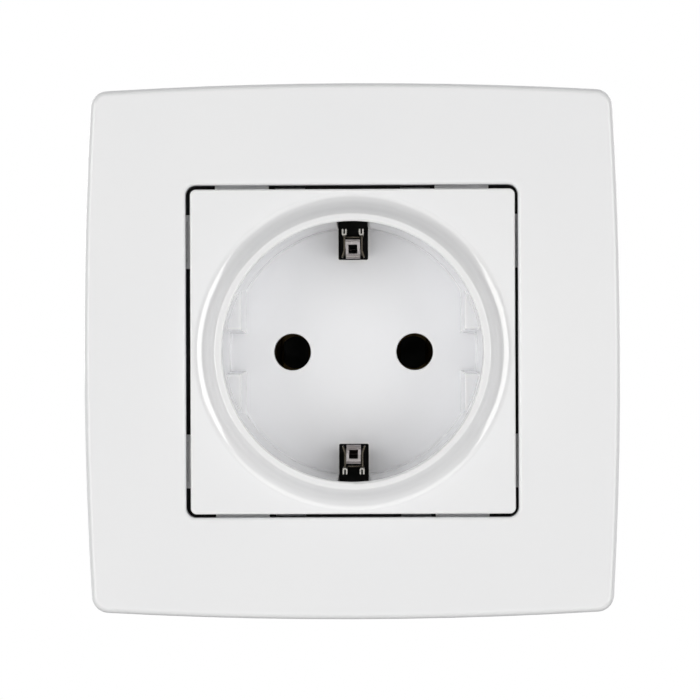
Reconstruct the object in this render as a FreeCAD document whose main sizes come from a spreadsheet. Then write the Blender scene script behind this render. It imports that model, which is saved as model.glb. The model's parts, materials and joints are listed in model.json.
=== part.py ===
import FreeCAD, Part
import math
import os
import Sketcher

# A type F wall socket for a 60 mm wall box, screw fixed, with its cover frame.
# Frame: +X right, +Z up, the front faces -Y, and the wall's surface is the plane y = 0.
# Levels are measured forward from the wall, so what lies inside the wall has a negative level.

# Driving dimensions in millimetres
DIMENSIONS = {
    # Cover frame
    "frame_side": 80.5,
    "frame_bulge": 1.18,
    "frame_corner": 2.6,
    "frame_front": 9.0,
    "frame_wall": 2.2,
    "frame_edge": 1.0,
    "hollow_corner": 1.0,
    "frame_shift_x": -0.12,
    "frame_shift_z": 0.06,
    "opening_gap": 0.6,
    "opening_corner": 1.5,
    "opening_edge": 0.55,
    "ledge_length": 8.1,
    "ledge_spacing": 33.2,
    "ledge_reach": 2.05,
    "ledge_root": 1.8,
    "ledge_clearance": 1.6,
    "relief_width": 0.2,
    "relief_length": 6.0,
    "relief_depth": 0.6,
    "rib_thickness": 1.2,
    "rib_clearance": 1.0,
    "rib_gap": 0.45,
    # Centre plate with the plug recess
    "plate_side": 48.7,
    "plate_corner": 0.9,
    "plate_front": 9.3,
    "plate_thickness": 2.0,
    "plate_edge": 0.35,
    "rim_front": 12.0,
    "rim_inner": 19.45,
    "rim_width": 1.12,
    "rim_round": 0.35,
    "flank_run": 3.23,
    "flank_round": 2.1,
    "recess_depth": 17.5,
    "recess_draft": 0.25,
    "floor_thickness": 2.5,
    "floor_round": 0.4,
    "cup_wall": 1.75,
    "guide_face": 16.6,
    "guide_channel": 5.9,
    "guide_drop": 7.4,
    "guide_draft": 0.388,
    "guide_root": 0.9,
    "guide_round": 0.25,
    "pin_spacing": 19.0,
    "pin_hole": 2.85,
    "pin_edge": 0.25,
    "slot_width": 4.6,
    "slot_start": 14.28,
    "slot_corner": 0.25,
    "slot_drop": 1.2,
    "slot_relief": 0.45,
    # Snap legs of the centre plate
    "leg_offset": 9.5,
    "leg_width": 4.0,
    "leg_thickness": 1.1,
    "leg_inset": 0.2,
    "hook_reach": 0.6,
    "hook_height": 1.2,
    "hook_clearance": 0.15,
    # Support plate
    "support_gap": 1.8,
    "support_corner": 4.0,
    "support_thickness": 1.0,
    "screw_spacing": 60.0,
    "screw_slot_width": 3.6,
    "screw_slot_length": 6.6,
    # Contact base and rear cap
    "deck_side": 52.0,
    "deck_corner": 2.0,
    "deck_thickness": 3.0,
    "sleeve_wall": 2.35,
    "block_corner": 6.0,
    "block_depth": 25.8,
    "base_wall": 3.2,
    "side_wall": 1.3,
    "pole_pocket_width": 8.8,
    "pole_pocket_height": 9.0,
    "earth_pocket_width": 7.2,
    "cap_thickness": 2.5,
    "cap_edge": 0.8,
    "wire_entry": 1.8,
    "wire_entry_round": 0.4,
    "fit_clearance": 0.3,
    "pin_guide_clearance": 0.35,
    # Contacts
    "contact_thickness": 0.8,
    "contact_height": 7.0,
    "contact_bend": 0.9,
    "jaw_throat": 4.5,
    "jaw_window": 2.6,
    "jaw_rear_gap": 5.0,
    "jaw_mouth_gap": 6.2,
    "jaw_mouth_back": 2.2,
    "jaw_throat_back": 5.3,
    "tail_height": 4.4,
    "tail_back": 3.0,
    "jaw_spring_thickness": 0.4,
    "jaw_spring_length": 5.0,
    "jaw_spring_forward": 8.1,
    "spring_clearance": 0.08,
    # Terminals
    "clamp_wall": 0.9,
    "clamp_thread_wall": 1.4,
    "clamp_length": 6.0,
    "clamp_inner_height": 4.8,
    "clamp_wire_gap": 2.7,
    "clamp_clearance": 0.1,
    "clamp_gap": 0.2,
    "clamp_back": 3.8,
    "terminal_shank": 1.75,
    "terminal_tip": 0.5,
    "terminal_head": 2.75,
    "terminal_head_height": 1.8,
    "terminal_slot_width": 0.8,
    "terminal_slot_depth": 0.9,
    "thread_clearance": 0.05,
    "head_sink": 0.3,
    # Earth yoke and the springs beside its clips
    "yoke_thickness": 0.6,
    "yoke_width": 5.0,
    "yoke_margin": 0.3,
    "clip_thickness": 0.4,
    "clip_width": 2.2,
    "clip_arm": 15.6,
    "clip_arm_back": 4.6,
    "clip_nose": 14.45,
    "clip_nose_back": 1.75,
    "clip_lip": 14.95,
    "clip_lip_back": 1.6,
    "clip_tip": 16.83,
    "clip_front": 4.3,
    "clip_bend": 0.25,
    "window_width": 1.35,
    "window_start": 15.05,
    "window_end": 16.3,
    "earth_spring_thickness": 0.22,
    "earth_spring_bridge": 1.0,
    "earth_spring_front": 2.6,
    "earth_spring_outer": 1.55,
    "earth_spring_inner": 1.05,
    "earth_spring_web": 17.85,
    "earth_spring_top": 18.7,
    "earth_spring_bend": 0.16,
    "strut_back": 2.5,
    "strut_offset": 1.34,
    "strut_foot": 1.68,
    "strut_knee": 15.7,
    "strut_end": 14.6,
    # Fasteners
    "rivet_offset": 18.9,
    "rivet_shank": 1.2,
    "rivet_head": 1.8,
    "rivet_head_height": 0.8,
    "rivet_tail": 1.6,
    "rivet_tail_height": 0.6,
    "yoke_rivet_offset": 8.0,
    "yoke_rivet_shank": 1.0,
    "yoke_rivet_head": 1.8,
    "yoke_rivet_head_height": 0.7,
    "yoke_rivet_tail": 1.6,
    "yoke_rivet_tail_height": 0.6,
    "cap_screw_offset": 13.0,
    "cap_screw_shank": 1.4,
    "cap_screw_length": 11.0,
    "cap_screw_head": 2.6,
    "cap_screw_head_height": 1.6,
    "cap_screw_slot_width": 0.7,
    "cap_screw_slot_depth": 0.8,
}

TOUCH = 1e-4

doc = FreeCAD.newDocument("wall_socket")
sheet = doc.addObject("Spreadsheet::Sheet", "Sizes")
for row, (alias, number) in enumerate(DIMENSIONS.items(), start=1):
    sheet.set(f"A{row}", alias)
    sheet.set(f"B{row}", str(number))
    sheet.setAlias(f"B{row}", alias)
doc.recompute()


class Size:
    """A number together with the sheet expression that gives it."""

    def __init__(self, value, text):
        self.value = value
        self.text = text

    def __add__(self, other):
        other = as_size(other)
        return Size(self.value + other.value, f"({self.text} + {other.text})")

    def __sub__(self, other):
        other = as_size(other)
        return Size(self.value - other.value, f"({self.text} - {other.text})")

    def __mul__(self, other):
        other = as_size(other)
        return Size(self.value * other.value, f"({self.text} * {other.text})")

    def __truediv__(self, other):
        other = as_size(other)
        return Size(self.value / other.value, f"({self.text} / {other.text})")

    def __neg__(self):
        return self * -1


class Sheet:
    """The sheet's cells by name."""

    def __getattr__(self, alias):
        return Size(float(sheet.get(alias)), f"Sizes.{alias}")


def as_size(item):
    return item if isinstance(item, Size) else Size(float(item), f"({item})")


dims = Sheet()
ZERO = as_size(0)

# Levels and radii that several pieces share
plate_half = dims.plate_side / 2
opening_half = plate_half + dims.opening_gap
plate_back = dims.plate_front - dims.plate_thickness
rim_outer = dims.rim_inner + dims.rim_width
flank_outer = rim_outer + dims.flank_run
floor_front = dims.rim_front - dims.recess_depth
floor_back = floor_front - dims.floor_thickness
floor_radius = dims.rim_inner - dims.recess_draft
cup_outer = dims.rim_inner + dims.cup_wall
sleeve_inner = cup_outer + dims.fit_clearance
sleeve_outer = sleeve_inner + dims.sleeve_wall
deck_back = dims.support_thickness
deck_front = deck_back + dims.deck_thickness
chamber_front = floor_back - dims.base_wall
block_back = -dims.block_depth
cap_back = block_back - dims.cap_thickness
pin_offset = dims.pin_spacing / 2
support_side = dims.frame_side - (dims.frame_bulge + dims.frame_wall + dims.support_gap) * 2
leg_outer = plate_half - dims.leg_inset
leg_inner = leg_outer - dims.leg_thickness
jaw_outer = pin_offset + dims.jaw_rear_gap / 2 + dims.contact_thickness
clamp_inner = jaw_outer + dims.jaw_spring_thickness + dims.clamp_gap
tail_inner = clamp_inner + dims.clamp_wall + dims.clamp_clearance
tail_offset = tail_inner + dims.contact_thickness / 2
tail_outer = tail_inner + dims.contact_thickness
thread_inner = tail_outer + dims.clamp_wire_gap
thread_outer = thread_inner + dims.clamp_thread_wall
wire_offset = tail_outer + dims.clamp_wire_gap / 2
clamp_front = chamber_front - dims.clamp_back
clamp_back = clamp_front - dims.clamp_length
screw_level = (clamp_front + clamp_back) / 2
head_inner = thread_outer + dims.clamp_clearance
head_outer = head_inner + dims.terminal_head_height
block_half = head_outer + dims.head_sink
block_side = block_half * 2
pocket_outer = block_half - dims.side_wall
yoke_back = chamber_front - dims.yoke_thickness
yoke_reach = dims.earth_spring_top + dims.yoke_margin
yoke_end = yoke_reach + dims.fit_clearance


# Sketch outlines: every corner, centre and radius is pinned to the sheet


def bind(sketch, constraint, size):
    index = sketch.addConstraint(constraint)
    sketch.setExpression(f"Constraints[{index}]", size.text)


def pin(sketch, edge, end, across, up):
    bind(sketch, Sketcher.Constraint("DistanceX", edge, end, across.value), across)
    bind(sketch, Sketcher.Constraint("DistanceY", edge, end, up.value), up)


def chain(sketch, kind, edges):
    """Join each edge's end to the next one's start, all the way round."""
    for here, there in zip(edges, edges[1:] + edges[:1]):
        sketch.addConstraint(Sketcher.Constraint(kind, here, 2, there, 1))


def point(across, up):
    return FreeCAD.Vector(across, up, 0)


def arc(centre_x, centre_y, radius, start, end):
    circle = Part.Circle(point(centre_x, centre_y), FreeCAD.Vector(0, 0, 1), radius)
    return Part.ArcOfCircle(circle, start, end)


def polygon(sketch, *corners):
    """A straight-sided outline through pairs of sizes."""
    spots = [point(across.value, up.value) for across, up in corners]
    edges = [
        sketch.addGeometry(Part.LineSegment(start, end))
        for start, end in zip(spots, spots[1:] + spots[:1])
    ]
    chain(sketch, "Coincident", edges)
    for edge, (across, up) in zip(edges, corners):
        pin(sketch, edge, 1, across, up)


def rectangle(sketch, left, right, low, high):
    polygon(sketch, (left, low), (right, low), (right, high), (left, high))


def circle(sketch, across, up, radius):
    outline = Part.Circle(point(across.value, up.value), FreeCAD.Vector(0, 0, 1), radius.value)
    edge = sketch.addGeometry(outline)
    pin(sketch, edge, 3, across, up)
    bind(sketch, Sketcher.Constraint("Radius", edge, radius.value), radius)


def rounded(sketch, left, right, low, high, radius):
    """A rectangle with round corners, drawn anticlockwise from its lower side."""
    near_left = left + radius
    near_right = right - radius
    near_low = low + radius
    near_high = high - radius
    sides = [
        (near_left, low, near_right, low),
        (right, near_low, right, near_high),
        (near_right, high, near_left, high),
        (left, near_high, left, near_low),
    ]
    centres = [
        (near_right, near_low),
        (near_right, near_high),
        (near_left, near_high),
        (near_left, near_low),
    ]
    edges = []
    for turn, (side, (across, up)) in enumerate(zip(sides, centres)):
        x_start, y_start, x_end, y_end = (size.value for size in side)
        line = Part.LineSegment(point(x_start, y_start), point(x_end, y_end))
        edges.append(sketch.addGeometry(line))
        start = (turn - 1) * math.pi / 2
        corner = arc(across.value, up.value, radius.value, start, start + math.pi / 2)
        edges.append(sketch.addGeometry(corner))
        pin(sketch, edges[-1], 3, across, up)
        bind(sketch, Sketcher.Constraint("Radius", edges[-1], radius.value), radius)
    chain(sketch, "Tangent", edges)


def long_slot(sketch, across, up, length, width):
    """A slot along the first axis with half-round ends."""
    radius = width / 2
    reach = length / 2 - radius
    edges = []
    for turn, end in enumerate((across + reach, across - reach)):
        start = -math.pi / 2 + turn * math.pi
        cap = arc(end.value, up.value, radius.value, start, start + math.pi)
        edges.append(sketch.addGeometry(cap))
        pin(sketch, edges[-1], 3, end, up)
        bind(sketch, Sketcher.Constraint("Radius", edges[-1], radius.value), radius)
        way = 1 - 2 * turn
        level = up.value + way * radius.value
        line = Part.LineSegment(
            point(end.value, level), point(end.value - 2 * way * reach.value, level)
        )
        edges.append(sketch.addGeometry(line))
    chain(sketch, "Tangent", edges)


def bulged(sketch, half, side_radius, corner_radius):
    """A square whose four sides are shallow arcs, tangent to its round corners."""
    inset = half - side_radius
    span = side_radius.value - corner_radius.value
    corner = (inset.value + math.sqrt(2 * span**2 - inset.value**2)) / 2
    swing = math.atan2(corner, corner - inset.value)
    centres = [(inset, ZERO), (ZERO, inset), (-inset, ZERO), (ZERO, -inset)]
    edges = []
    for turn, (across, up) in enumerate(centres):
        middle = turn * math.pi / 2
        side = arc(across.value, up.value, side_radius.value, middle - swing, middle + swing)
        edges.append(sketch.addGeometry(side))
        pin(sketch, edges[-1], 3, across, up)
        bind(sketch, Sketcher.Constraint("Radius", edges[-1], side_radius.value), side_radius)
        x_sign = 1 if turn in (0, 3) else -1
        y_sign = 1 if turn in (0, 1) else -1
        join = middle + swing
        rounding = arc(
            x_sign * corner,
            y_sign * corner,
            corner_radius.value,
            join,
            middle + math.pi / 2 - swing,
        )
        edges.append(sketch.addGeometry(rounding))
        bind(sketch, Sketcher.Constraint("Radius", edges[-1], corner_radius.value), corner_radius)
    chain(sketch, "Tangent", edges)


# Features of a moulded or pressed piece


def new_body(label):
    body = doc.addObject("PartDesign::Body", label)
    body.Label = label
    return body


def sketch_on(body, role, name, level):
    """A sketch on one of the body's own planes, lifted along the plane's normal."""
    sketch = body.newObject("Sketcher::SketchObject", name + "_outline")
    plane = next(item for item in body.Origin.OriginFeatures if item.Role == role)
    sketch.AttachmentSupport = [(plane, "")]
    sketch.MapMode = "FlatFace"
    sketch.setExpression("AttachmentOffset.Base.z", level.text)
    return sketch


def extrude(body, kind, name, sketch, length):
    feature = body.newObject("PartDesign::" + kind, name)
    feature.Profile = sketch
    feature.setExpression("Length", length.text)
    return feature


def pad(body, name, outlines, back, front):
    """Add material between two levels; each outline is a function and its sizes."""
    sketch = sketch_on(body, "XZ_Plane", name, back)
    for draw, *sizes in outlines:
        draw(sketch, *sizes)
    return extrude(body, "Pad", name, sketch, front - back)


def pocket(body, name, outlines, back, front):
    """Remove material between two levels, cut from the front one backwards."""
    sketch = sketch_on(body, "XZ_Plane", name, front)
    for draw, *sizes in outlines:
        draw(sketch, *sizes)
    return extrude(body, "Pocket", name, sketch, front - back)


def round_edges(body, name, radius, wanted):
    """Round every edge of the body so far that the test picks."""
    doc.recompute()
    base = body.Tip
    picked = [f"Edge{i}" for i, edge in enumerate(base.Shape.Edges, 1) if wanted(edge)]
    feature = body.newObject("PartDesign::Fillet", name)
    feature.Base = (base, picked)
    feature.setExpression("Radius", radius.text)


def lies_at(edge, level):
    """Whether the whole edge lies at a level forward of the wall."""
    box = edge.BoundBox
    return abs(box.YMin + level.value) < TOUCH and abs(box.YMax + level.value) < TOUCH


def is_ring(edge, radius, level):
    """Whether the edge is an arc of a radius, flat at a level."""
    round_edge = isinstance(edge.Curve, Part.Circle)
    return round_edge and abs(edge.Curve.Radius - radius.value) < TOUCH and lies_at(edge, level)


def reach(edge):
    """How far from the axis the edge's box reaches, along X or Z."""
    box = edge.BoundBox
    return max(abs(box.XMin), abs(box.XMax), abs(box.ZMin), abs(box.ZMax))


def four_ways(across, up):
    return [(across * sx, up * sz) for sx in (1, -1) for sz in (1, -1)]


def around(centre_x, centre_z, width, height):
    """The sides of a rectangle about a centre."""
    return (
        centre_x - width / 2,
        centre_x + width / 2,
        centre_z - height / 2,
        centre_z + height / 2,
    )


# Cover frame


def side_rectangles(near, far, width):
    """Two rectangles on each of the four sides, at the ledges' places, from near to far off the axis."""
    places = []
    for place in (dims.ledge_spacing / 2, -dims.ledge_spacing / 2):
        low = place - width / 2
        high = place + width / 2
        for sign in (1, -1):
            off_axis = sorted((near * sign, far * sign), key=lambda size: size.value)
            places.append((rectangle, *off_axis, low, high))
            places.append((rectangle, low, high, *off_axis))
    return places


def make_cover_frame():
    body = new_body("cover_frame")
    half = dims.frame_side / 2
    chord = half - dims.frame_bulge
    bulge = dims.frame_bulge
    side_radius = (chord * chord + bulge * bulge) / (bulge * 2)
    wall_back = dims.frame_front - dims.frame_wall
    ledge_front = plate_back - dims.ledge_clearance
    root = opening_half + dims.ledge_root
    hollow = (
        bulged,
        half - dims.frame_wall,
        side_radius - dims.frame_wall,
        dims.hollow_corner,
    )
    blank = (bulged, half, side_radius, dims.frame_corner)
    opening = (rounded, *around(ZERO, ZERO, opening_half * 2, opening_half * 2), dims.opening_corner)
    pad(body, "frame_blank", [blank], ZERO, dims.frame_front)
    round_edges(body, "frame_edge", dims.frame_edge, lambda edge: lies_at(edge, dims.frame_front))
    pocket(body, "frame_hollow", [hollow], ZERO, wall_back)
    pocket(body, "frame_opening", [opening], ZERO, dims.frame_front)
    round_edges(
        body,
        "opening_edge",
        dims.opening_edge,
        lambda edge: lies_at(edge, dims.frame_front) and reach(edge) < opening_half.value + TOUCH,
    )
    inner = opening_half - dims.ledge_reach
    pad(body, "ledges", side_rectangles(inner, root, dims.ledge_length), deck_front, ledge_front)
    reliefs = []
    for x_sign in (1, -1):
        for z_sign in (1, -1):
            near = (opening_half - dims.relief_width / 2) * x_sign
            place = dims.ledge_spacing / 2 * z_sign
            reliefs.append((rectangle, *around(near, place, dims.relief_width, dims.relief_length)))
    pocket(body, "ledge_reliefs", reliefs, ledge_front - dims.relief_depth, ledge_front)
    rib_inner = dims.deck_side / 2 + dims.rib_gap
    pad(
        body,
        "ribs",
        side_rectangles(rib_inner, half - dims.frame_wall / 2, dims.rib_thickness),
        dims.support_thickness + dims.rib_clearance,
        wall_back + dims.frame_wall / 2,
    )
    body.setExpression("Placement.Base.x", dims.frame_shift_x.text)
    body.setExpression("Placement.Base.z", dims.frame_shift_z.text)
    return body


# Centre plate: plate, rim, plug recess, guide blocks and snap legs in one moulding


def revolve(body, kind, name, draw):
    """Turn a section in the XY plane about the socket's axis."""
    sketch = sketch_on(body, "XY_Plane", name, ZERO)
    draw(sketch)
    feature = body.newObject("PartDesign::" + kind, name)
    feature.Profile = sketch
    feature.ReferenceAxis = (sketch, ["V_Axis"])
    feature.Angle = 360


def cup_section(sketch):
    """The filled cup with its rim; the rim's flank is a cone that runs into the plate in a round."""
    corners = [
        (flank_outer, -dims.plate_front),
        (flank_outer, -plate_back),
        (cup_outer, -plate_back),
        (cup_outer, -floor_back),
        (ZERO, -floor_back),
        (ZERO, -dims.rim_front),
        (rim_outer, -dims.rim_front),
    ]
    spots = [point(across.value, up.value) for across, up in corners]
    radius = dims.flank_round
    round_level = -dims.plate_front - radius
    centre = point(flank_outer.value, round_level.value)
    way = centre - spots[-1]
    slope = math.atan2(way.y, way.x) + math.asin(radius.value / way.Length)
    spots.append(centre + point(-math.sin(slope), math.cos(slope)) * radius.value)
    edges = [
        sketch.addGeometry(Part.LineSegment(start, end))
        for start, end in zip(spots, spots[1:])
    ]
    foot = sketch.addGeometry(
        arc(centre.x, centre.y, radius.value, math.pi / 2, math.pi / 2 + slope)
    )
    for here, there in zip(edges, edges[1:]):
        sketch.addConstraint(Sketcher.Constraint("Coincident", here, 2, there, 1))
    sketch.addConstraint(Sketcher.Constraint("Coincident", foot, 1, edges[0], 1))
    for edge, (across, up) in zip(edges, corners):
        pin(sketch, edge, 1, across, up)
    pin(sketch, foot, 3, flank_outer, round_level)
    sketch.addConstraint(Sketcher.Constraint("Tangent", edges[-1], 2, foot, 2))


def recess_section(sketch):
    polygon(
        sketch,
        (ZERO, -floor_front),
        (ZERO, -dims.rim_front),
        (dims.rim_inner, -dims.rim_front),
        (floor_radius, -floor_front),
    )


def guide_outline(sketch, x_sign, z_sign):
    """One guide block: a flat face, a channel side and an arc inside the cup's wall."""
    root = floor_radius + dims.guide_root
    face = dims.guide_face * x_sign
    side = dims.guide_channel / 2 * z_sign
    far_up = z_sign * math.sqrt(root.value**2 - face.value**2)
    far_out = x_sign * math.sqrt(root.value**2 - side.value**2)
    inner = point(face.value, side.value)
    upper = point(face.value, far_up)
    outer = point(far_out, side.value)
    angles = [math.atan2(spot.y, spot.x) for spot in (outer, upper)]
    same_way = x_sign * z_sign > 0
    start, end = angles if same_way else angles[::-1]
    if end < start:
        end += 2 * math.pi
    flat = sketch.addGeometry(Part.LineSegment(inner, upper))
    base = sketch.addGeometry(Part.LineSegment(inner, outer))
    back = sketch.addGeometry(arc(0, 0, root.value, start, end))
    at_outer, at_upper = (1, 2) if same_way else (2, 1)
    sketch.addConstraint(Sketcher.Constraint("Coincident", flat, 1, base, 1))
    sketch.addConstraint(Sketcher.Constraint("Coincident", base, 2, back, at_outer))
    sketch.addConstraint(Sketcher.Constraint("Coincident", flat, 2, back, at_upper))
    pin(sketch, flat, 1, face, side)
    bind(sketch, Sketcher.Constraint("DistanceX", flat, 2, face.value), face)
    bind(sketch, Sketcher.Constraint("DistanceY", base, 2, side.value), side)
    pin(sketch, back, 3, ZERO, ZERO)
    bind(sketch, Sketcher.Constraint("Radius", back, root.value), root)


def earth_slots(outer):
    """The two earth slots, from their inner ends to a distance off the axis."""
    half = dims.slot_width / 2
    return [
        (rounded, -half, half, dims.slot_start, outer, dims.slot_corner),
        (rounded, -half, half, -outer, -dims.slot_start, dims.slot_corner),
    ]


def leg_outlines(inner, outer, width):
    """A rectangle at each of the four snap legs, between two distances off the axis."""
    outlines = []
    for x_sign in (1, -1):
        centre = dims.leg_offset * x_sign
        left = centre - width / 2
        right = centre + width / 2
        outlines.append((rectangle, left, right, inner, outer))
        outlines.append((rectangle, left, right, -outer, -inner))
    return outlines


def pin_circles(radius):
    return [(circle, pin_offset, ZERO, radius), (circle, -pin_offset, ZERO, radius)]


def make_centre_plate():
    body = new_body("centre_plate")
    side = dims.plate_side
    guide_front = dims.rim_front - dims.guide_drop
    guide_slope = dims.guide_draft / (guide_front - floor_front)
    plate = (rounded, *around(ZERO, ZERO, side, side), dims.plate_corner)
    pad(body, "plate", [plate], plate_back, dims.plate_front)
    round_edges(body, "plate_edge", dims.plate_edge, lambda edge: lies_at(edge, dims.plate_front))
    revolve(body, "Revolution", "cup", cup_section)
    revolve(body, "Groove", "recess", recess_section)
    round_edges(
        body,
        "rim_round",
        dims.rim_round,
        lambda edge: is_ring(edge, dims.rim_inner, dims.rim_front)
        or is_ring(edge, rim_outer, dims.rim_front),
    )
    round_edges(
        body, "floor_round", dims.floor_round, lambda edge: is_ring(edge, floor_radius, floor_front)
    )
    for number, (x_sign, z_sign) in enumerate(((1, 1), (1, -1), (-1, 1), (-1, -1)), 1):
        outline = [(guide_outline, x_sign, z_sign)]
        block = pad(body, f"guide_{number}", outline, floor_front, guide_front)
        block.setExpression("TaperAngle", f"-atan({guide_slope.text})")
    round_edges(
        body,
        "guide_round",
        dims.guide_round,
        lambda edge: isinstance(edge.Curve, Part.Line) and lies_at(edge, guide_front),
    )
    pocket(body, "pin_holes", pin_circles(dims.pin_hole), floor_back, floor_front)
    round_edges(
        body,
        "pin_edge",
        dims.pin_edge,
        lambda edge: is_ring(edge, dims.pin_hole, floor_front),
    )
    through_wall = cup_outer + dims.cup_wall / 2
    behind_rim = dims.rim_inner + dims.slot_relief
    pocket(body, "slots", earth_slots(through_wall), floor_back, plate_back)
    pocket(body, "slot_tops", earth_slots(behind_rim), plate_back, dims.rim_front - dims.slot_drop)
    hook_front = -dims.hook_clearance
    hook_back = hook_front - dims.hook_height
    legs = leg_outlines(leg_inner, leg_outer, dims.leg_width)
    hooks = leg_outlines(leg_inner, leg_outer + dims.hook_reach, dims.leg_width)
    pad(body, "legs", legs, hook_back, plate_back + dims.plate_thickness / 2)
    pad(body, "hooks", hooks, hook_back, hook_front)
    return body


# Support plate


def leg_windows():
    """Windows for the snap legs, with room for their hooks to pass."""
    room = dims.fit_clearance
    outer = leg_outer + dims.hook_reach + room
    return leg_outlines(leg_inner - room, outer, dims.leg_width + room * 2)


def rivet_circles(radius):
    places = four_ways(dims.rivet_offset, dims.rivet_offset)
    return [(circle, across, up, radius) for across, up in places]


def make_support_plate():
    body = new_body("support_plate")
    side = support_side
    outline = (rounded, *around(ZERO, ZERO, side, side), dims.support_corner)
    pad(body, "sheet_blank", [outline], ZERO, dims.support_thickness)
    openings = [(circle, ZERO, ZERO, sleeve_outer + dims.fit_clearance)]
    for across in (dims.screw_spacing / 2, -dims.screw_spacing / 2):
        openings.append((long_slot, across, ZERO, dims.screw_slot_length, dims.screw_slot_width))
    openings += rivet_circles(dims.rivet_shank + dims.thread_clearance)
    pocket(body, "sheet_openings", openings, ZERO, dims.support_thickness)
    room = dims.fit_clearance
    windows = leg_outlines(leg_inner - room, leg_outer + room, dims.leg_width + room * 2)
    pocket(body, "sheet_windows", windows, ZERO, dims.support_thickness)
    return body


# Contact base and its rear cap


def block_outline():
    side = block_side
    return (rounded, *around(ZERO, ZERO, side, side), dims.block_corner)


def cap_screw_places():
    spot = dims.cap_screw_offset
    return [(spot, spot), (-spot, -spot)]


def clip_slits():
    """A slit in the base's wall for each earth clip's arm."""
    room = dims.fit_clearance
    half = dims.clip_width / 2 + room
    low = dims.clip_arm - dims.clip_thickness / 2 - room
    high = dims.clip_arm + dims.clip_thickness / 2 + room
    return [(rectangle, -half, half, low, high), (rectangle, -half, half, -high, -low)]


def make_contact_base():
    body = new_body("contact_base")
    side = dims.deck_side
    deck = (rounded, *around(ZERO, ZERO, side, side), dims.deck_corner)
    pad(body, "deck", [deck], deck_back, deck_front)
    pad(body, "sleeve", [(circle, ZERO, ZERO, sleeve_outer)], chamber_front, deck_front)
    pad(body, "block", [block_outline()], block_back, chamber_front + dims.base_wall / 2)
    pocket(body, "cup_seat", [(circle, ZERO, ZERO, sleeve_inner)], floor_back, deck_front)
    guides = pin_circles(dims.pin_hole + dims.pin_guide_clearance)
    pocket(body, "pin_guides", guides, chamber_front, floor_back)
    pocket(body, "clip_slits", clip_slits(), chamber_front, floor_back)
    pole_inner = pin_offset - dims.pole_pocket_width / 2
    half_height = dims.pole_pocket_height / 2
    half_width = dims.earth_pocket_width / 2
    chambers = [
        (rectangle, -pocket_outer, -pole_inner, -half_height, half_height),
        (rectangle, pole_inner, pocket_outer, -half_height, half_height),
        (rectangle, -half_width, half_width, -pocket_outer, yoke_end),
    ]
    pocket(body, "chambers", chambers, block_back, chamber_front)
    head_hole = dims.terminal_head + dims.fit_clearance
    depth = dims.side_wall + dims.fit_clearance
    accesses = [
        ("left_access", "YZ_Plane", -pocket_outer + dims.fit_clearance, (-screw_level, ZERO)),
        ("right_access", "YZ_Plane", block_half, (-screw_level, ZERO)),
        ("lower_access", "XY_Plane", -pocket_outer + dims.fit_clearance, (ZERO, -screw_level)),
    ]
    for name, plane, start, (across, up) in accesses:
        sketch = sketch_on(body, plane, name, start)
        circle(sketch, across, up, head_hole)
        extrude(body, "Pocket", name, sketch, depth)
    pocket(body, "leg_windows", leg_windows(), deck_back, deck_front)
    rivet_hole = dims.rivet_shank + dims.thread_clearance
    pocket(body, "rivet_holes", rivet_circles(rivet_hole), deck_back, deck_front)
    shank_hole = dims.yoke_rivet_shank + dims.thread_clearance
    head_recess = dims.yoke_rivet_head + dims.fit_clearance
    yoke_places = [(ZERO, dims.yoke_rivet_offset), (ZERO, -dims.yoke_rivet_offset)]
    shanks = [(circle, across, up, shank_hole) for across, up in yoke_places]
    recesses = [(circle, across, up, head_recess) for across, up in yoke_places]
    pocket(body, "yoke_rivet_holes", shanks, chamber_front, floor_back)
    recess_back = floor_back - dims.yoke_rivet_head_height - dims.fit_clearance
    pocket(body, "yoke_rivet_recesses", recesses, recess_back, floor_back)
    pilot = dims.cap_screw_shank + dims.thread_clearance
    pilots = [(circle, across, up, pilot) for across, up in cap_screw_places()]
    pilot_front = cap_back + dims.cap_screw_length + dims.fit_clearance
    pocket(body, "cap_screw_pilots", pilots, block_back, pilot_front)
    return body


def make_rear_cap():
    body = new_body("rear_cap")
    pad(body, "cap_blank", [block_outline()], cap_back, block_back)
    clear = dims.cap_screw_shank + dims.fit_clearance
    holes = [(circle, across, up, clear) for across, up in cap_screw_places()]
    for across, up in ((-wire_offset, ZERO), (wire_offset, ZERO), (ZERO, -wire_offset)):
        holes.append((circle, across, up, dims.wire_entry))
    pocket(body, "cap_holes", holes, cap_back, block_back)
    round_edges(
        body,
        "wire_entry_round",
        dims.wire_entry_round,
        lambda edge: is_ring(edge, dims.wire_entry, cap_back),
    )
    round_edges(
        body,
        "cap_edge",
        dims.cap_edge,
        lambda edge: lies_at(edge, cap_back) and reach(edge) > block_half.value - TOUCH,
    )
    return body


# Primitives bound to the sheet, for turned and folded pieces

ALONG_X = FreeCAD.Rotation(FreeCAD.Vector(0, 1, 0), 90)
ALONG_Y = FreeCAD.Rotation(FreeCAD.Vector(1, 0, 0), -90)


def place(item, x, y, z):
    item.setExpression("Placement.Base.x", x.text)
    item.setExpression("Placement.Base.y", y.text)
    item.setExpression("Placement.Base.z", z.text)


def box(name, x, y, z):
    """A box between pairs of sizes along each axis."""
    item = doc.addObject("Part::Box", name)
    for side, (low, high) in zip(("Length", "Width", "Height"), (x, y, z)):
        item.setExpression(side, (high - low).text)
    place(item, x[0], y[0], z[0])
    return item


def rod_along_x(name, radius, start, end, y, z):
    item = doc.addObject("Part::Cylinder", name)
    item.Placement = FreeCAD.Placement(FreeCAD.Vector(), ALONG_X)
    item.setExpression("Radius", radius.text)
    item.setExpression("Height", (end - start).text)
    place(item, start, y, z)
    return item


def rod_along_y(name, radius, start, end, x, z):
    item = doc.addObject("Part::Cylinder", name)
    item.Placement = FreeCAD.Placement(FreeCAD.Vector(), ALONG_Y)
    item.setExpression("Radius", radius.text)
    item.setExpression("Height", (end - start).text)
    place(item, x, start, z)
    return item


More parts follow.
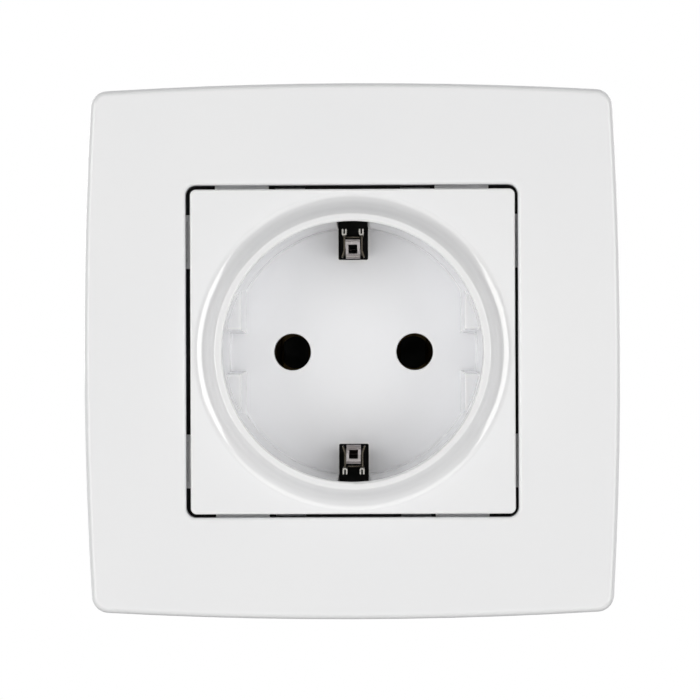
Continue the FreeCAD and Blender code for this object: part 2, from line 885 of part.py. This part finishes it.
def joined(name, pieces):
    item = doc.addObject("Part::MultiFuse", name)
    item.Shapes = pieces
    return item


def cut(name, base, tool):
    item = doc.addObject("Part::Cut", name)
    item.Base = base
    item.Tool = tool
    return item


def grouped(label, pieces):
    item = doc.addObject("Part::Compound", label)
    item.Links = pieces
    item.Label = label
    return item


def turn_about_axis(item, label, angle):
    """Name a piece made for the left-hand pole and turn it about the socket's axis to its own."""
    item.Label = label
    item.Placement = FreeCAD.Placement(
        FreeCAD.Vector(), FreeCAD.Rotation(FreeCAD.Vector(0, 1, 0), angle)
    )
    return item


# Terminal cages and screws, drawn at the left-hand pole

POLES = {"live": 0, "neutral": 180, "earth": -90}


def make_clamp(pole, angle):
    half = dims.clamp_inner_height / 2
    outer = half + dims.clamp_wall
    levels = (-clamp_front, -clamp_back)
    shell = box(f"{pole}_cage_outside", (-thread_outer, -clamp_inner), levels, (-outer, outer))
    inner = tail_inner - dims.clamp_clearance
    hollow = box(f"{pole}_cage_inside", (-thread_inner, -inner), levels, (-half, half))
    thread = dims.terminal_shank + dims.thread_clearance
    hole = rod_along_x(
        f"{pole}_cage_thread", thread, -thread_outer, -thread_inner, -screw_level, ZERO
    )
    openings = joined(f"{pole}_cage_openings", [hollow, hole])
    return turn_about_axis(cut(f"{pole}_clamp", shell, openings), f"{pole}_clamp", angle)


def make_terminal_screw(pole, angle):
    tip = thread_inner - dims.terminal_tip
    head = rod_along_x(
        f"{pole}_screw_head", dims.terminal_head, -head_outer, -head_inner, -screw_level, ZERO
    )
    shank = rod_along_x(
        f"{pole}_screw_shank", dims.terminal_shank, -head_inner, -tip, -screw_level, ZERO
    )
    half = dims.terminal_slot_width / 2
    slot = box(
        f"{pole}_screw_slot",
        (-head_outer, -head_outer + dims.terminal_slot_depth),
        (-screw_level - dims.terminal_head, -screw_level + dims.terminal_head),
        (-half, half),
    )
    blank = joined(f"{pole}_screw_blank", [head, shank])
    screw = cut(f"{pole}_terminal_screw", blank, slot)
    return turn_about_axis(screw, f"{pole}_terminal_screw", angle)


# Screws and rivets in groups


def make_cap_screws():
    screws = []
    half = dims.cap_screw_slot_width / 2
    head_back = cap_back - dims.cap_screw_head_height
    tip = cap_back + dims.cap_screw_length
    for number, (x, z) in enumerate(cap_screw_places(), 1):
        name = f"cap_screw_{number}"
        shank = rod_along_y(f"{name}_shank", dims.cap_screw_shank, -tip, -cap_back, x, z)
        head = rod_along_y(f"{name}_head", dims.cap_screw_head, -cap_back, -head_back, x, z)
        slot = box(
            f"{name}_slot",
            (x - dims.cap_screw_head, x + dims.cap_screw_head),
            (-head_back - dims.cap_screw_slot_depth, -head_back),
            (z - half, z + half),
        )
        screws.append(cut(name, joined(f"{name}_blank", [shank, head]), slot))
    return grouped("cap_screws", screws)


def make_rivets(label, places, shank, head, tail, front, back):
    """Rivets along Y; head and tail are a radius and a height, outside the front and back levels."""
    rivets = []
    for number, (x, z) in enumerate(places, 1):
        name = f"{label}_{number}"
        head_radius, head_height = head
        tail_radius, tail_height = tail
        pieces = [
            rod_along_y(f"{name}_shank", shank, -front, -back, x, z),
            rod_along_y(f"{name}_head", head_radius, -front - head_height, -front, x, z),
            rod_along_y(f"{name}_tail", tail_radius, -back, -back + tail_height, x, z),
        ]
        rivets.append(joined(name, pieces))
    return grouped(label, rivets)


def make_plate_rivets():
    return make_rivets(
        "plate_rivets",
        four_ways(dims.rivet_offset, dims.rivet_offset),
        dims.rivet_shank,
        (dims.rivet_head, dims.rivet_head_height),
        (dims.rivet_tail, dims.rivet_tail_height),
        deck_front,
        ZERO,
    )


def make_yoke_rivets():
    seat = floor_back - dims.yoke_rivet_head_height - dims.fit_clearance
    return make_rivets(
        "yoke_rivets",
        [(ZERO, dims.yoke_rivet_offset), (ZERO, -dims.yoke_rivet_offset)],
        dims.yoke_rivet_shank,
        (dims.yoke_rivet_head, dims.yoke_rivet_head_height),
        (dims.yoke_rivet_tail, dims.yoke_rivet_tail_height),
        seat,
        yoke_back,
    )


# Bent sheet: strips of one thickness with round bends


def bent_strip(points, bend, thickness, lift, extent):
    """A strip along a line of points, as a solid; lift turns a flat point into a place in space."""
    spots = [FreeCAD.Vector(across.value, up.value, 0) for across, up in points]
    runs = [(end - start).normalize() for start, end in zip(spots, spots[1:])]
    track = [(spots[0], runs[0])]
    for corner, arrive, leave in zip(spots[1:-1], runs, runs[1:]):
        half_turn = arrive.getAngle(leave) / 2
        setback = bend.value * math.tan(half_turn)
        middle = bend.value / math.cos(half_turn) - bend.value
        inward = (leave - arrive).normalize()
        track.append((corner - arrive * setback, arrive))
        track.append((corner + inward * middle, (arrive + leave).normalize()))
        track.append((corner + leave * setback, leave))
    track.append((spots[-1], runs[-1]))

    def side(sign):
        shift = sign * thickness.value / 2
        return [lift(spot + FreeCAD.Vector(-way.y, way.x, 0) * shift) for spot, way in track]

    def edges(line):
        found = [Part.makeLine(line[0], line[1])]
        for index in range(1, len(line) - 1, 3):
            before, middle, after, following = line[index : index + 4]
            found.append(Part.Arc(before, middle, after).toShape())
            found.append(Part.makeLine(after, following))
        return found

    left = side(1)
    right = side(-1)
    ends = [Part.makeLine(left[-1], right[-1]), Part.makeLine(left[0], right[0])]
    outline = Part.Wire(Part.__sortEdges__(edges(left) + edges(right) + ends))
    return Part.Face(outline).extrude(extent)


def sheet_piece(label, shape):
    item = doc.addObject("Part::Feature", label)
    item.Shape = shape.removeSplitter()
    item.Label = label
    return item


def make_contact(pole, angle):
    """Brass jaws open to the front, a window behind the pin and a tail into the terminal cage."""
    thickness = dims.contact_thickness
    half = thickness / 2
    bridge = dims.block_depth - half
    mouth = (dims.jaw_mouth_gap / 2 + half, -chamber_front + dims.jaw_mouth_back)
    throat = (dims.jaw_throat / 2 + half, -chamber_front + dims.jaw_throat_back)
    rear = (dims.jaw_rear_gap / 2 + half, bridge)
    right_side = [mouth, throat, rear]
    line = [(offset - pin_offset, level) for offset, level in right_side]
    line += [(-offset - pin_offset, level) for offset, level in reversed(right_side)]
    tail_front = -chamber_front + dims.tail_back
    tail = [
        (-pin_offset, bridge),
        (-tail_offset, bridge),
        (-tail_offset, tail_front),
    ]

    def flat_at(height):
        low = -height.value / 2
        return lambda spot: FreeCAD.Vector(spot.x, spot.y, low)

    def strip(points, height):
        extent = FreeCAD.Vector(0, 0, height.value)
        return bent_strip(points, dims.contact_bend, thickness, flat_at(height), extent)

    window = Part.makeCylinder(
        dims.jaw_window.value,
        thickness.value,
        FreeCAD.Vector(-pin_offset.value, (bridge - half).value, 0),
        FreeCAD.Vector(0, 1, 0),
    )
    shape = strip(line, dims.contact_height).fuse(strip(tail, dims.tail_height)).cut(window)
    label = f"{pole}_contact"
    return turn_about_axis(sheet_piece(label, shape), label, angle)


def make_jaw_spring(pole, angle):
    """A steel clip folded over the jaws, which presses them together."""
    thickness = dims.jaw_spring_thickness
    widest = dims.jaw_rear_gap / 2 + dims.contact_thickness
    leg = widest + thickness / 2
    top = dims.contact_height / 2 + dims.spring_clearance + thickness / 2
    foot = -dims.contact_height / 2 + thickness
    points = [
        (-pin_offset - leg, foot),
        (-pin_offset - leg, top),
        (-pin_offset + leg, top),
        (-pin_offset + leg, foot),
    ]
    level = (dims.block_depth - dims.jaw_spring_forward).value
    extent = FreeCAD.Vector(0, dims.jaw_spring_length.value, 0)
    shape = bent_strip(
        points,
        thickness,
        thickness,
        lambda spot: FreeCAD.Vector(spot.x, level, spot.y),
        extent,
    )
    label = f"{pole}_jaw_spring"
    return turn_about_axis(sheet_piece(label, shape), label, angle)


def make_earth_yoke():
    """A strap behind the base's wall, a clip at each end and a tab into the earth terminal."""
    half = dims.yoke_width.value / 2
    reach_out = yoke_reach.value
    strap = Part.makeBox(
        2 * half,
        dims.yoke_thickness.value,
        2 * reach_out,
        FreeCAD.Vector(-half, -chamber_front.value, -reach_out),
    )
    line = [
        (dims.clip_arm, -chamber_front + dims.yoke_thickness / 2),
        (dims.clip_arm, dims.clip_arm_back),
        (dims.clip_nose, dims.clip_nose_back),
        (dims.clip_lip, dims.clip_lip_back),
        (dims.clip_tip, -dims.clip_front),
    ]
    clip_half = dims.clip_width.value / 2
    clip = bent_strip(
        line,
        dims.clip_bend,
        dims.clip_thickness,
        lambda spot: FreeCAD.Vector(-clip_half, spot.y, spot.x),
        FreeCAD.Vector(2 * clip_half, 0, 0),
    )
    window_half = dims.window_width.value / 2
    window = Part.makeBox(
        2 * window_half,
        (dims.clip_front + dims.clip_nose_back).value,
        (dims.window_end - dims.window_start).value,
        FreeCAD.Vector(-window_half, -dims.clip_front.value, dims.window_start.value),
    )
    clip = clip.cut(window)
    lower_clip = clip.mirror(FreeCAD.Vector(), FreeCAD.Vector(0, 0, 1))
    tab_half = dims.tail_height.value / 2
    tab = Part.makeBox(
        2 * tab_half,
        (-clamp_back + chamber_front).value,
        dims.contact_thickness.value,
        FreeCAD.Vector(-tab_half, -chamber_front.value, -tail_outer.value),
    )
    shape = strap
    for piece in (clip, lower_clip, tab):
        shape = shape.fuse(piece)
    holes = []
    hole_radius = (dims.yoke_rivet_shank + dims.thread_clearance).value
    for up in (dims.yoke_rivet_offset.value, -dims.yoke_rivet_offset.value):
        holes.append(
            Part.makeCylinder(
                hole_radius,
                dims.yoke_thickness.value,
                FreeCAD.Vector(0, -chamber_front.value, up),
                FreeCAD.Vector(0, 1, 0),
            )
        )
    for hole in holes:
        shape = shape.cut(hole)
    return sheet_piece("earth_yoke", shape)


def make_earth_clip_spring(label, z_sign):
    """A steel spring on the base's wall: a channel and a strut on each side of the clip, and a bridge."""
    thickness = dims.earth_spring_thickness
    seat = -floor_back
    shape = None
    for x_sign in (1, -1):
        outer = dims.earth_spring_outer * x_sign
        inner = dims.earth_spring_inner * x_sign
        side = dims.strut_offset * x_sign
        foot = dims.strut_foot * x_sign
        top = dims.earth_spring_top
        web = dims.earth_spring_web
        channel = [(outer, top), (outer, web), (inner, web), (inner, top)]
        strut = [(outer, web), (side, web), (side, dims.strut_knee), (foot, dims.strut_end)]
        for line, front in ((channel, -dims.earth_spring_front), (strut, dims.strut_back)):
            level = front.value
            piece = bent_strip(
                line,
                dims.earth_spring_bend,
                thickness,
                lambda spot: FreeCAD.Vector(spot.x, level, spot.y * z_sign),
                FreeCAD.Vector(0, (seat - front).value, 0),
            )
            shape = piece if shape is None else shape.fuse(piece)
    web_half = dims.earth_spring_inner.value + thickness.value
    bridge_height = thickness.value
    low = dims.earth_spring_web.value - bridge_height / 2
    bridge = Part.makeBox(
        2 * web_half,
        dims.earth_spring_bridge.value,
        bridge_height,
        FreeCAD.Vector(-web_half, (seat - dims.earth_spring_bridge).value, low),
    )
    if z_sign < 0:
        bridge = bridge.mirror(FreeCAD.Vector(), FreeCAD.Vector(0, 0, 1))
    return sheet_piece(label, shape.fuse(bridge))


# Build, check and write


def fail_if_bad(items, nodes):
    """Stop if a feature failed, a cut removed nothing or a sub-part isn't whole."""
    for item in items:
        if "Invalid" in item.State or "Error" in item.State:
            raise RuntimeError(f"{item.Label} failed: {item.State}")
        if item.TypeId in ("PartDesign::Pocket", "PartDesign::Groove"):
            if item.Shape.Volume >= item.BaseFeature.Shape.Volume - TOUCH:
                raise RuntimeError(f"{item.Label} removes nothing")
    for node in nodes:
        if node.Shape.isNull() or not node.Shape.isValid():
            raise RuntimeError(f"{node.Label} has no valid shape")


def main():
    nodes = [make_cover_frame(), make_centre_plate(), make_support_plate()]
    nodes += [make_contact_base(), make_rear_cap()]
    for pole, angle in POLES.items():
        if pole != "earth":
            nodes.append(make_contact(pole, angle))
            nodes.append(make_jaw_spring(pole, angle))
        nodes.append(make_clamp(pole, angle))
        nodes.append(make_terminal_screw(pole, angle))
    nodes.append(make_earth_yoke())
    nodes.append(make_earth_clip_spring("earth_clip_spring_upper", 1))
    nodes.append(make_earth_clip_spring("earth_clip_spring_lower", -1))
    nodes += [make_cap_screws(), make_plate_rivets(), make_yoke_rivets()]
    doc.recompute()
    fail_if_bad(doc.Objects, nodes)
    os.makedirs("parts", exist_ok=True)
    for node in nodes:
        node.Shape.exportStep(f"parts/{node.Label}.step")
        print(node.Label, len(node.Shape.Solids), round(node.Shape.Volume, 1))


main()
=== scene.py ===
import json
import math

import bpy
from mathutils import Matrix, Vector

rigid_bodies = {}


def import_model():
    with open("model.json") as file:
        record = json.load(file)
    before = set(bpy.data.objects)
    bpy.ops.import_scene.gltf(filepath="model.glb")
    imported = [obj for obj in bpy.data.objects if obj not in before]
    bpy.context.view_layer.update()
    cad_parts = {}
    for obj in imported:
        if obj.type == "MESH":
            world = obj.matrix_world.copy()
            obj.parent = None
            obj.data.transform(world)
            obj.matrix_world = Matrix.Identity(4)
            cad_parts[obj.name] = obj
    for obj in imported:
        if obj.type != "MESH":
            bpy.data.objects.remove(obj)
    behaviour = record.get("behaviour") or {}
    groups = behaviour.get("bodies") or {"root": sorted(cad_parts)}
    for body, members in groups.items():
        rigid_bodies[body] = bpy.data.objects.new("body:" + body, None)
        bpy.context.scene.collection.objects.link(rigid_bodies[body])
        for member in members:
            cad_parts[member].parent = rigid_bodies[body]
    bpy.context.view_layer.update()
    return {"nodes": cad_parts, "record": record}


# A type F wall socket seen straight from the front, in soft studio light on white.
# Metres; +X right, +Z up, the front faces -Y and the wall's surface is the plane y = 0.

MM = 0.001

bpy.ops.object.select_all(action="SELECT")
bpy.ops.object.delete()
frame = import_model()
nodes = frame["nodes"]


# Node trees

# The span that smooth noise mostly keeps to
NOISE_LOW = 0.3
NOISE_HIGH = 0.7

# How open a piece's inside is just below a broad face and just below an outer edge, which sets where the
# painted edge highlight falls
OPEN_AT_FACE = 0.94
OPEN_AT_EDGE = 0.66

EDGE_SAMPLES = 8
BEVEL_SAMPLES = 6

# Places of the colour mix's sockets, whose names repeat
MIX_FACTOR = 0
MIX_FIRST = 6
MIX_SECOND = 7
MIX_RESULT = 2

# How far a ring's border fades to each side, in millimetres
RING_BLUR = 0.15

# How far noise is drawn out along each axis
EVEN = (1.0, 1.0, 1.0)
ALONG_X = (18.0, 1.0, 1.0)
ALONG_Y = (1.0, 18.0, 1.0)
FLOW = (1.0, 2.5, 1.0)


class NodeTree:
    """A node tree whose nodes are added by kind and linked by socket name."""

    def __init__(self, tree):
        self.tree = tree

    def add(self, kind, **sockets):
        """A new node; a socket's value is a number, a colour or another node's output."""
        node = self.tree.nodes.new(kind)
        for name, value in sockets.items():
            self.give(node, name.replace("_", " "), value)
        return node

    def give(self, node, socket, value):
        """Link or set a socket, which is found by its name or its place."""
        if isinstance(value, bpy.types.NodeSocket):
            self.tree.links.new(value, node.inputs[socket])
        else:
            node.inputs[socket].default_value = value

    def counted(self, kind, operation, *values):
        """The outputs of a maths node whose inputs are given in order."""
        node = self.add(kind)
        node.operation = operation
        for place, value in enumerate(values):
            self.give(node, place, value)
        return node.outputs

    def spread(self, value, start, end, low=0.0, high=1.0):
        """A value mapped from one span to another and held at its ends."""
        node = self.add(
            "ShaderNodeMapRange", Value=value, From_Min=start, From_Max=end, To_Min=low, To_Max=high
        )
        return node.outputs["Result"]

    def camera_ray(self):
        """1 for what the camera sees directly, and 0 for light on its way."""
        return self.add("ShaderNodeLightPath").outputs["Is Camera Ray"]


class Shader(NodeTree):
    """A material's nodes, laid out by the piece's own coordinates."""

    def __init__(self, name):
        self.material = bpy.data.materials.new(name)
        self.material.use_nodes = True
        super().__init__(self.material.node_tree)
        self.surface = self.tree.nodes["Principled BSDF"]
        self.place = self.add("ShaderNodeTexCoord").outputs["Object"]

    def noise(self, spacing, detail, stretch=EVEN):
        """Smooth noise from 0 to 1 with a spacing in millimetres, drawn out along the axes."""
        scale = [1 / length for length in stretch]
        drawn = self.add("ShaderNodeMapping", Vector=self.place, Scale=scale)
        node = self.add(
            "ShaderNodeTexNoise",
            Vector=drawn.outputs["Vector"],
            Scale=1 / (spacing * MM),
            Detail=detail,
        )
        return node.outputs["Fac"]

    def between(self, noise, low, high):
        """Noise spread between two values."""
        return self.spread(noise, NOISE_LOW, NOISE_HIGH, low, high)

    def blend(self, noise, deep, pale):
        """A colour between two, by a noise."""
        node = self.add("ShaderNodeValToRGB", Fac=noise)
        first, last = node.color_ramp.elements
        first.position = NOISE_LOW
        last.position = NOISE_HIGH
        first.color = (*deep, 1)
        last.color = (*pale, 1)
        return node.outputs["Color"]

    def tinted(self, factor, colour, tint):
        """A colour mixed with a tint by a factor."""
        node = self.add("ShaderNodeMix")
        node.data_type = "RGBA"
        self.give(node, MIX_FACTOR, factor)
        self.give(node, MIX_FIRST, colour)
        self.give(node, MIX_SECOND, (*tint, 1))
        return node.outputs[MIX_RESULT]

    def raised(self, height, depth, under=None):
        """A normal bumped by a height of 0 to 1 times a depth in millimetres."""
        node = self.add("ShaderNodeBump", Height=height, Distance=depth * MM, Strength=1.0)
        if under is not None:
            self.give(node, "Normal", under)
        return node.outputs["Normal"]

    def eased(self, radius):
        """A normal that rounds the edges by a radius in millimetres."""
        node = self.add("ShaderNodeBevel", Radius=radius * MM)
        node.samples = BEVEL_SAMPLES
        return node.outputs["Normal"]

    def edges(self, distance):
        """A mask for painted highlights: from 0 on broad faces to 1 on outer edges, found within a
        distance in millimetres.
        """
        node = self.add("ShaderNodeAmbientOcclusion", Distance=distance * MM)
        node.inside = True
        node.only_local = True
        node.samples = EDGE_SAMPLES
        return self.spread(node.outputs["AO"], OPEN_AT_FACE, OPEN_AT_EDGE)

    def depth(self, front, back):
        """A mask for painted shade: from 0 at a front level to 1 at a back level, both in millimetres into
        the wall.
        """
        axes = self.add("ShaderNodeSeparateXYZ", Vector=self.place)
        return self.spread(axes.outputs["Y"], front * MM, back * MM)

    def radius(self):
        """The distance from the socket's axis, in metres."""
        flat = self.counted("ShaderNodeVectorMath", "MULTIPLY", self.place, (1, 0, 1))["Vector"]
        return self.counted("ShaderNodeVectorMath", "LENGTH", flat)["Value"]

    def ring(self, inner, outer, within, beyond):
        """One value between two radii, in millimetres from the axis, and another beyond them."""
        middle = (inner + outer) / 2
        reach = (outer - inner) / 2
        offset = self.counted("ShaderNodeMath", "SUBTRACT", self.radius(), middle * MM)["Value"]
        away = self.counted("ShaderNodeMath", "ABSOLUTE", offset)["Value"]
        return self.spread(away, (reach - RING_BLUR) * MM, (reach + RING_BLUR) * MM, within, beyond)

    def section(self, levels):
        """A height that eases between levels, each given at a radius in millimetres from the axis."""
        radii, heights = zip(*levels)
        first = radii[0]
        last = radii[-1]
        node = self.add("ShaderNodeValToRGB", Fac=self.spread(self.radius(), first * MM, last * MM))
        node.color_ramp.interpolation = "EASE"
        stops = node.color_ramp.elements
        for radius in radii[1:-1]:
            stops.new((radius - first) / (last - first))
        for stop, height in zip(stops, heights):
            stop.color = (height, height, height, 1)
        return node.outputs["Color"]

    def finish(self, **sockets):
        """The material, with its surface's sockets set."""
        for name, value in sockets.items():
            self.give(self.surface, name.replace("_", " "), value)
        return self.material


# Finishes

WHITE_DEEP = (0.936, 0.940, 0.966)
WHITE_PALE = (0.948, 0.951, 0.974)
# The colour outer edges are painted towards, as a painted highlight
WHITE_PAINTED_HIGHLIGHT = (1.0, 1.0, 1.0)
WHITE_IOR = 1.6

# The rim is glossier than the flats
RIM_RADII = (19.6, 23.9)
RIM_GLOSS = 1.0
FLAT_GLOSS = 0.4

# The rim's flank is hollowed a little towards its foot: radius and level
FLANK_LEVELS = ((20.9, 1.0), (21.85, 0.0), (23.0, 0.65))
FLANK_HOLLOW = 0.2

BLACK_DEEP = (0.003, 0.003, 0.0034)
BLACK_PALE = (0.008, 0.008, 0.0084)
BLACK_GLOSS = 0.3


def gloss_white():
    """Moulded gloss white: a painted highlight along thin edges, a faint ripple, fine grain and a rim with
    more gloss.
    """
    shader = Shader("gloss_white")
    tone = shader.noise(spacing=24, detail=2.0)
    gloss = shader.noise(spacing=5, detail=4.0)
    flank = shader.raised(shader.section(FLANK_LEVELS), depth=FLANK_HOLLOW)
    ripple = shader.raised(shader.noise(spacing=9, detail=1.0), depth=0.0018, under=flank)
    grain = shader.raised(shader.noise(spacing=0.22, detail=2.0), depth=0.0006, under=ripple)
    body = shader.blend(tone, WHITE_DEEP, WHITE_PALE)
    return shader.finish(
        # Outer edges are painted paler: a painted highlight along every edge
        Base_Color=shader.tinted(shader.edges(distance=0.6), body, WHITE_PAINTED_HIGHLIGHT),
        Roughness=shader.between(gloss, low=0.10, high=0.14),
        Normal=grain,
        IOR=WHITE_IOR,
        Specular_IOR_Level=shader.ring(*RIM_RADII, within=RIM_GLOSS, beyond=FLAT_GLOSS),
    )


def matt_black():
    """Moulded thermoset: near black, grained, with paler flow marks and uneven gloss."""
    shader = Shader("matt_black")
    flow = shader.noise(spacing=7, detail=5.0, stretch=FLOW)
    gloss = shader.noise(spacing=2.4, detail=5.0)
    edges = shader.eased(radius=0.25)
    coarse = shader.raised(shader.noise(spacing=1.1, detail=4.0), depth=0.010, under=edges)
    fine = shader.raised(shader.noise(spacing=0.16, detail=2.0), depth=0.006, under=coarse)
    return shader.finish(
        Base_Color=shader.blend(flow, BLACK_DEEP, BLACK_PALE),
        Roughness=shader.between(gloss, low=0.42, high=0.62),
        Normal=fine,
        Specular_IOR_Level=BLACK_GLOSS,
    )


def sheet_metal(name, deep, pale, rough, drawn, edge, painted_shade=None):
    """Plated or bare metal: drawn-out rolling marks, a mottled colour, faint dents and softened edges.

    Metal with painted shade gives two levels, in millimetres into the wall, and the colour it sinks to
    between them: shade painted on the parts that lie deeper.
    """
    shader = Shader(name)
    mottle = shader.noise(spacing=2.2, detail=5.0)
    gloss = shader.noise(spacing=0.8, detail=5.0)
    marks = shader.noise(spacing=0.09, detail=3.0, stretch=drawn)
    rolled = shader.raised(marks, depth=0.003, under=shader.eased(edge))
    dents = shader.raised(shader.noise(spacing=3.5, detail=2.0), depth=0.012, under=rolled)
    colour = shader.blend(mottle, deep, pale)
    # Painted shade: the colour darkens towards the back, where the parts lie in shadow
    if painted_shade:
        front, back, shade_colour = painted_shade
        colour = shader.tinted(shader.depth(front, back), colour, shade_colour)
    return shader.finish(
        Base_Color=colour,
        Metallic=1.0,
        Roughness=shader.between(gloss, *rough),
        Normal=dents,
    )


finishes = {
    "white_plastic": gloss_white(),
    "black_thermoset": matt_black(),
    "zinc_steel": sheet_metal(
        "zinc_steel",
        deep=(0.50, 0.51, 0.53),
        pale=(0.66, 0.67, 0.69),
        rough=(0.26, 0.44),
        drawn=ALONG_X,
        edge=0.12,
    ),
    "contact_brass": sheet_metal(
        "contact_brass",
        deep=(0.16, 0.11, 0.05),
        pale=(0.30, 0.21, 0.10),
        rough=(0.50, 0.65),
        drawn=ALONG_Y,
        edge=0.08,
    ),
    "spring_steel": sheet_metal(
        "spring_steel",
        deep=(0.62, 0.60, 0.56),
        pale=(0.85, 0.83, 0.79),
        rough=(0.20, 0.34),
        drawn=ALONG_Y,
        edge=0.04,
        # Painted shade: darker from 2.4 mm in front of the wall's plane to 1.6 mm behind it, where the
        # spring's bridge lies in shadow
        painted_shade=(-2.4, 1.6, (0.17, 0.15, 0.12)),
    ),
    "screw_steel": sheet_metal(
        "screw_steel",
        deep=(0.52, 0.49, 0.42),
        pale=(0.70, 0.68, 0.62),
        rough=(0.22, 0.38),
        drawn=EVEN,
        edge=0.12,
    ),
    "plated_earth": sheet_metal(
        "plated_earth",
        deep=(0.43, 0.39, 0.38),
        pale=(0.58, 0.54, 0.53),
        rough=(0.24, 0.38),
        drawn=ALONG_Y,
        edge=0.06,
    ),
    "rivet_metal": sheet_metal(
        "rivet_metal",
        deep=(0.60, 0.60, 0.60),
        pale=(0.74, 0.74, 0.74),
        rough=(0.28, 0.42),
        drawn=EVEN,
        edge=0.12,
    ),
}

for subpart in frame["record"]["subparts"]:
    mesh = nodes[subpart["node"]].data
    mesh.materials.clear()
    mesh.materials.append(finishes[subpart["material_slot"]])


# Floor

FLOOR_LEVEL = -0.45
FLOOR_RADIUS = 1.2
FLOOR_CORNERS = 96
FLOOR_DEEP = (0.26, 0.26, 0.26)
FLOOR_PALE = (0.30, 0.30, 0.30)
FLOOR_SEEN = (0.62, 0.62, 0.62, 1)


def pale_floor():
    """Pale as the camera sees it, but throwing little light back at the object."""
    shader = Shader("pale_floor")
    return shader.finish(
        Base_Color=shader.blend(shader.noise(spacing=60, detail=3.0), FLOOR_DEEP, FLOOR_PALE),
        Roughness=shader.between(shader.noise(spacing=12, detail=3.0), low=0.6, high=0.75),
        Emission_Color=FLOOR_SEEN,
        Emission_Strength=shader.camera_ray(),
    )


bpy.ops.mesh.primitive_circle_add(vertices=FLOOR_CORNERS, radius=FLOOR_RADIUS, fill_type="NGON")
floor = bpy.context.object
floor.name = "floor"
floor.location = (0, 0, FLOOR_LEVEL)
floor.data.materials.append(pale_floor())


# Light

SOFTBOX_DISTANCE = 0.7
LAMP_COLOUR = (1.0, 0.996, 0.970)

# Name, degrees round from the front, degrees up, half width and half height in degrees, radiance
SOFTBOXES = (
    ("softbox_left", -44, 0, 14, 24, 3.12),
    ("softbox_right", 42, 0, 14, 24, 2.87),
    ("front_card", 0, 0, 17, 17, 0.6),
    ("fill_low", 0, -25, 24, 11, 1.22),
    ("fill_high", 0, 26, 24, 11, 0.83),
    ("rear_left", -140, 15, 16, 16, 2.0),
    ("rear_right", 140, 15, 16, 16, 1.2),
)


def direction(turn, lift):
    """A unit vector, by degrees round from the front and degrees up."""
    level = math.cos(math.radians(lift))
    across = level * math.sin(math.radians(turn))
    forward = level * math.cos(math.radians(turn))
    return Vector((across, -forward, math.sin(math.radians(lift))))


def softbox(name, turn, lift, half_width, half_height, radiance):
    """A rectangular lamp of an even radiance, aimed at the origin and hidden from the camera."""
    lamp = bpy.data.lights.new(name, "AREA")
    lamp.shape = "RECTANGLE"
    lamp.size = 2 * SOFTBOX_DISTANCE * math.tan(math.radians(half_width))
    lamp.size_y = 2 * SOFTBOX_DISTANCE * math.tan(math.radians(half_height))
    lamp.energy = radiance * math.pi * lamp.size * lamp.size_y
    lamp.color = LAMP_COLOUR
    item = bpy.data.objects.new(name, lamp)
    item.location = direction(turn, lift) * SOFTBOX_DISTANCE
    item.rotation_euler = (-item.location).to_track_quat("-Z", "Y").to_euler()
    item.visible_camera = False
    bpy.context.scene.collection.objects.link(item)


for box in SOFTBOXES:
    softbox(*box)


# Surroundings

SKY_COLOUR = (0.985, 0.99, 1.0, 1)
SKY_IN_FRONT = 0.05
SKY_BEHIND = 0.8

# How far a direction leans behind the wall's plane, as a sine, where the sky reaches its full light
SKY_FULL = 0.4

BACKDROP = (1, 1, 1, 1)

# Places of the two shaders in their mix
FOR_LIGHT = 1
FOR_CAMERA = 2


def white_surroundings():
    """Pure white to the camera; as a light, dim in front of the wall's plane and bright behind it."""
    world = bpy.data.worlds.new("studio")
    world.use_nodes = True
    world.node_tree.nodes.clear()
    bpy.context.scene.world = world
    sky = NodeTree(world.node_tree)
    towards = sky.add("ShaderNodeTexCoord").outputs["Generated"]
    axes = sky.add("ShaderNodeSeparateXYZ", Vector=towards)
    level = sky.spread(axes.outputs["Y"], 0.0, SKY_FULL, SKY_IN_FRONT, SKY_BEHIND)
    light = sky.add("ShaderNodeBackground", Color=SKY_COLOUR, Strength=level)
    backdrop = sky.add("ShaderNodeBackground", Color=BACKDROP, Strength=1.0)
    choice = sky.add("ShaderNodeMixShader", Fac=sky.camera_ray())
    sky.give(choice, FOR_LIGHT, light.outputs["Background"])
    sky.give(choice, FOR_CAMERA, backdrop.outputs["Background"])
    sky.add("ShaderNodeOutputWorld", Surface=choice.outputs["Shader"])


white_surroundings()


# Camera: a little to the right of the socket's axis and below it, turned back to it, and rolled

CAMERA_PLACE = Vector((3.8, -402.0, -1.55)) * MM
CAMERA_TARGET = Vector((-0.5, 0.0, 0.26)) * MM
CAMERA_ROLL = 0.2
CAMERA_LENS = 134.9
CAMERA_SENSOR = 36.0
CAMERA_NEAR = 0.01
CAMERA_FAR = 20

lens = bpy.data.cameras.new("camera")
lens.sensor_width = CAMERA_SENSOR
lens.lens = CAMERA_LENS
lens.clip_start = CAMERA_NEAR
lens.clip_end = CAMERA_FAR
camera = bpy.data.objects.new("camera", lens)
aim = (CAMERA_TARGET - CAMERA_PLACE).to_track_quat("-Z", "Y").to_matrix()
roll = Matrix.Rotation(math.radians(-CAMERA_ROLL), 3, "Z")
camera.rotation_euler = (aim @ roll).to_euler()
camera.location = CAMERA_PLACE
bpy.context.scene.collection.objects.link(camera)
bpy.context.scene.camera = camera
bpy.context.scene.view_settings.view_transform = "Standard"
bpy.context.scene.view_settings.look = "None"
